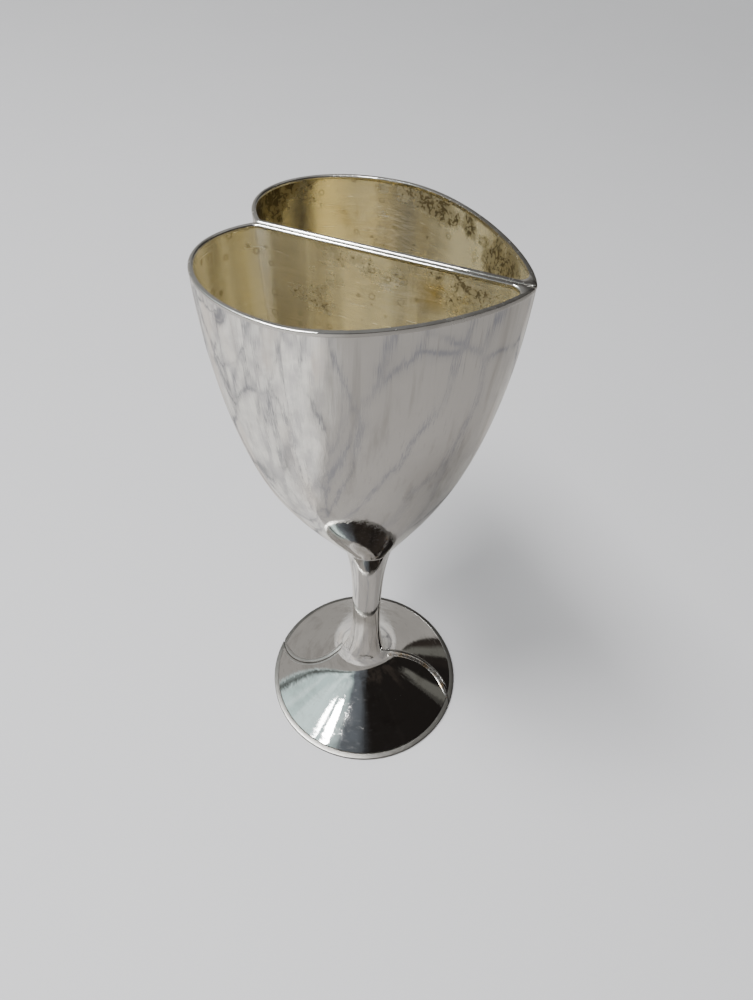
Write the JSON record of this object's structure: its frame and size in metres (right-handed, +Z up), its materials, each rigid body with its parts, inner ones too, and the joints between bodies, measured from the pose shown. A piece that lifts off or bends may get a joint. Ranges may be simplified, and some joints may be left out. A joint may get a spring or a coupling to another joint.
{
  "type": "nesting heart-shaped goblet pair",
  "caption": "Silver-plated, gilt-lined goblets with half-heart bowls, half-round stems and S-cut feet that nest together as one heart-shaped chalice.",
  "frame": {"origin": "centre of the round foot that the two nested goblets make, on the surface they stand on", "axes": "+Z up along the stem; the goblets meet on the plane Y = 0, front goblet at -Y, back goblet at +Y; +X towards the heart's point, -X towards its cleft"},
  "size_m": [0.067, 0.067, 0.17],
  "materials": {
    "silver_plate": "mirror-polished silver plate on brass, with fine hairline scratches",
    "gilding": "satin gilt lining with brown tarnish spots and fine scratches"
  },
  "bodies": {
    "front_goblet": {"front_bowl_wall": "silver_plate", "front_bowl_divider": "gilding", "front_rim_wire": "silver_plate", "front_stem": "silver_plate", "front_foot_shell": "silver_plate", "front_foot_ring": "silver_plate", "front_foot_lobe_bead": "silver_plate", "front_foot_horn_bead": "silver_plate"},
    "back_goblet": {"back_bowl_wall": "silver_plate", "back_bowl_divider": "gilding", "back_rim_wire": "silver_plate", "back_stem": "silver_plate", "back_foot_shell": "silver_plate", "back_foot_ring": "silver_plate", "back_foot_lobe_bead": "silver_plate", "back_foot_horn_bead": "silver_plate"}
  },
  "joints": [
    {"name": "goblets_apart", "type": "slide", "parent": "front_goblet", "child": "back_goblet", "axis": [0, 1, 0], "range_m": [0, 0.12]}
  ]
}
